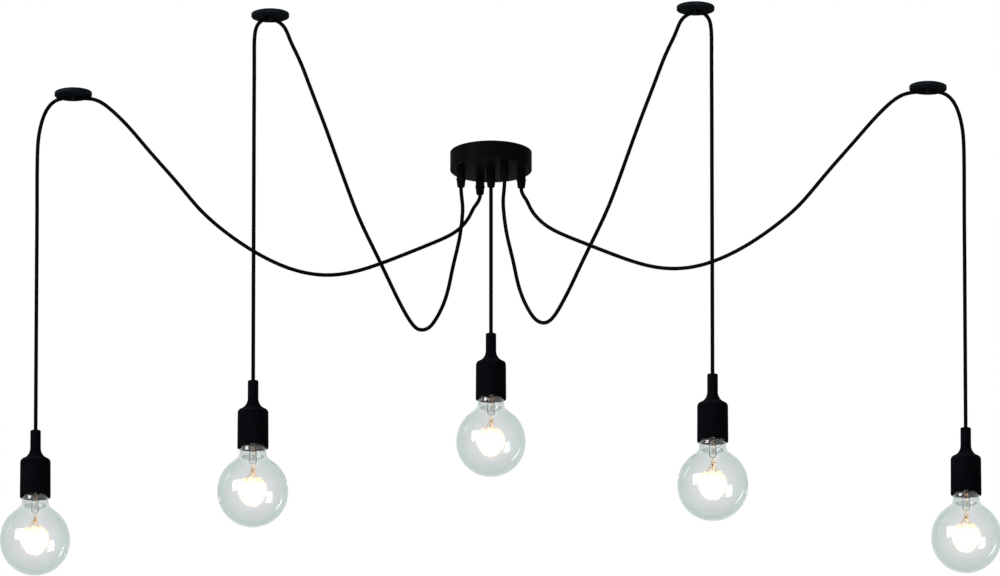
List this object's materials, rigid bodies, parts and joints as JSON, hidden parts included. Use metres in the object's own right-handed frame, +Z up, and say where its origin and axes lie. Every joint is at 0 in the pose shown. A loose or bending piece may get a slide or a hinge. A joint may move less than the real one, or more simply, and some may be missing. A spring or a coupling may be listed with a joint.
{
  "type": "pendant light",
  "caption": "Black swag pendant light: round ceiling canopy, textile cords draped over ceiling hooks, sleeved lampholders and clear globe lamps.",
  "frame": {"origin": "on the ceiling, at the middle of the top face of the canopy bracket", "axes": "+Z up into the ceiling, +X along the row of lamps to the viewer's right, +Y away from the viewer, from the hooks to the canopy"},
  "size_m": [1.351, 0.7665, 0.7186],
  "materials": {
    "canopy": "satin black",
    "bracket": "zinc plated",
    "dark_screw": "blackened steel",
    "hook_screw": "zinc plated",
    "terminal": "moulded cream",
    "grip": "moulded black",
    "hook": "smooth moulded black",
    "cord": "braided black textile",
    "sleeve": "matt silicone",
    "lampholder": "moulded black",
    "bulb_cap": "bright, with a rolled thread",
    "bulb_glass": "clear blown glass",
    "bulb_mount": "clear stem with a glowing filament"
  },
  "bodies": {
    "fixed_part": {"canopy_cup": "canopy", "ceiling_bracket": "bracket", "canopy_screw": "dark_screw", "terminal_block": "terminal", "cord_grip_1": "grip", "cord_grip_2": "grip", "cord_grip_3": "grip", "cord_grip_4": "grip", "cord_grip_5": "grip", "hook_plate_1": "hook", "hook_screw_1": "hook_screw", "hook_cap_1": "hook", "swag_cord_1": "cord", "hook_plate_2": "hook", "hook_screw_2": "hook_screw", "hook_cap_2": "hook", "swag_cord_2": "cord", "hook_plate_4": "hook", "hook_screw_4": "hook_screw", "hook_cap_4": "hook", "swag_cord_4": "cord", "hook_plate_5": "hook", "hook_screw_5": "hook_screw", "hook_cap_5": "hook", "swag_cord_5": "cord"},
    "flex_1": {"cord_flex_1": "cord"},
    "pendant_1": {"drop_cord_1": "cord", "holder_sleeve_1": "sleeve", "lampholder_1": "lampholder"},
    "bulb_cap_1": {"bulb_cap_1": "bulb_cap"},
    "bulb_1": {"bulb_glass_1": "bulb_glass", "bulb_mount_1": "bulb_mount"},
    "flex_2": {"cord_flex_2": "cord"},
    "pendant_2": {"drop_cord_2": "cord", "holder_sleeve_2": "sleeve", "lampholder_2": "lampholder"},
    "bulb_cap_2": {"bulb_cap_2": "bulb_cap"},
    "bulb_2": {"bulb_glass_2": "bulb_glass", "bulb_mount_2": "bulb_mount"},
    "flex_3": {"cord_flex_3": "cord"},
    "pendant_3": {"drop_cord_3": "cord", "holder_sleeve_3": "sleeve", "lampholder_3": "lampholder"},
    "bulb_cap_3": {"bulb_cap_3": "bulb_cap"},
    "bulb_3": {"bulb_glass_3": "bulb_glass", "bulb_mount_3": "bulb_mount"},
    "flex_4": {"cord_flex_4": "cord"},
    "pendant_4": {"drop_cord_4": "cord", "holder_sleeve_4": "sleeve", "lampholder_4": "lampholder"},
    "bulb_cap_4": {"bulb_cap_4": "bulb_cap"},
    "bulb_4": {"bulb_glass_4": "bulb_glass", "bulb_mount_4": "bulb_mount"},
    "flex_5": {"cord_flex_5": "cord"},
    "pendant_5": {"drop_cord_5": "cord", "holder_sleeve_5": "sleeve", "lampholder_5": "lampholder"},
    "bulb_cap_5": {"bulb_cap_5": "bulb_cap"},
    "bulb_5": {"bulb_glass_5": "bulb_glass", "bulb_mount_5": "bulb_mount"}
  },
  "joints": [
    {"name": "swing_side_1", "type": "hinge", "parent": "fixed_part", "child": "flex_1", "pos_m": [-0.61512, -0.27621, -0.09495], "axis": [0, 1, 0], "range_deg": [-13, 13]},
    {"name": "swing_fore_1", "type": "hinge", "parent": "flex_1", "child": "pendant_1", "pos_m": [-0.61512, -0.27621, -0.12545], "axis": [1, 0, 0], "range_deg": [-13, 13]},
    {"name": "bulb_travel_1", "type": "slide", "parent": "pendant_1", "child": "bulb_cap_1", "axis": [0, 0, -1], "range_m": [0, 0.011]},
    {"name": "bulb_turn_1", "type": "hinge", "parent": "bulb_cap_1", "child": "bulb_1", "pos_m": [-0.61512, -0.27621, -0.6], "axis": [0, 0, -1], "range_deg": [0, 1080]},
    {"name": "swing_side_2", "type": "hinge", "parent": "fixed_part", "child": "flex_2", "pos_m": [-0.31735, -0.62969, -0.05495], "axis": [0, 1, 0], "range_deg": [-13, 13]},
    {"name": "swing_fore_2", "type": "hinge", "parent": "flex_2", "child": "pendant_2", "pos_m": [-0.31735, -0.62969, -0.08545], "axis": [1, 0, 0], "range_deg": [-13, 13]},
    {"name": "bulb_travel_2", "type": "slide", "parent": "pendant_2", "child": "bulb_cap_2", "axis": [0, 0, -1], "range_m": [0, 0.011]},
    {"name": "bulb_turn_2", "type": "hinge", "parent": "bulb_cap_2", "child": "bulb_2", "pos_m": [-0.31735, -0.62969, -0.6], "axis": [0, 0, -1], "range_deg": [0, 1080]},
    {"name": "swing_side_3", "type": "hinge", "parent": "fixed_part", "child": "flex_3", "pos_m": [0, 0, -0.04975], "axis": [0, 1, 0], "range_deg": [-13, 13]},
    {"name": "swing_fore_3", "type": "hinge", "parent": "flex_3", "child": "pendant_3", "pos_m": [0, 0, -0.08025], "axis": [1, 0, 0], "range_deg": [-13, 13]},
    {"name": "bulb_travel_3", "type": "slide", "parent": "pendant_3", "child": "bulb_cap_3", "axis": [0, 0, -1], "range_m": [0, 0.011]},
    {"name": "bulb_turn_3", "type": "hinge", "parent": "bulb_cap_3", "child": "bulb_3", "pos_m": [0, 0, -0.6], "axis": [0, 0, -1], "range_deg": [0, 1080]},
    {"name": "swing_side_4", "type": "hinge", "parent": "fixed_part", "child": "flex_4", "pos_m": [0.29585, -0.66069, -0.05495], "axis": [0, 1, 0], "range_deg": [-13, 13]},
    {"name": "swing_fore_4", "type": "hinge", "parent": "flex_4", "child": "pendant_4", "pos_m": [0.29585, -0.66069, -0.08545], "axis": [1, 0, 0], "range_deg": [-13, 13]},
    {"name": "bulb_travel_4", "type": "slide", "parent": "pendant_4", "child": "bulb_cap_4", "axis": [0, 0, -1], "range_m": [0, 0.011]},
    {"name": "bulb_turn_4", "type": "hinge", "parent": "bulb_cap_4", "child": "bulb_4", "pos_m": [0.29585, -0.66069, -0.6], "axis": [0, 0, -1], "range_deg": [0, 1080]},
    {"name": "swing_side_5", "type": "hinge", "parent": "fixed_part", "child": "flex_5", "pos_m": [0.64092, -0.30521, -0.09495], "axis": [0, 1, 0], "range_deg": [-13, 13]},
    {"name": "swing_fore_5", "type": "hinge", "parent": "flex_5", "child": "pendant_5", "pos_m": [0.64092, -0.30521, -0.12545], "axis": [1, 0, 0], "range_deg": [-13, 13]},
    {"name": "bulb_travel_5", "type": "slide", "parent": "pendant_5", "child": "bulb_cap_5", "axis": [0, 0, -1], "range_m": [0, 0.011]},
    {"name": "bulb_turn_5", "type": "hinge", "parent": "bulb_cap_5", "child": "bulb_5", "pos_m": [0.64092, -0.30521, -0.6], "axis": [0, 0, -1], "range_deg": [0, 1080]}
  ],
  "couplings": [
    {"joint": "bulb_travel_1", "follows": "bulb_turn_1", "m_per_rad": 0.00057774},
    {"joint": "bulb_travel_2", "follows": "bulb_turn_2", "m_per_rad": 0.00057774},
    {"joint": "bulb_travel_3", "follows": "bulb_turn_3", "m_per_rad": 0.00057774},
    {"joint": "bulb_travel_4", "follows": "bulb_turn_4", "m_per_rad": 0.00057774},
    {"joint": "bulb_travel_5", "follows": "bulb_turn_5", "m_per_rad": 0.00057774}
  ]
}
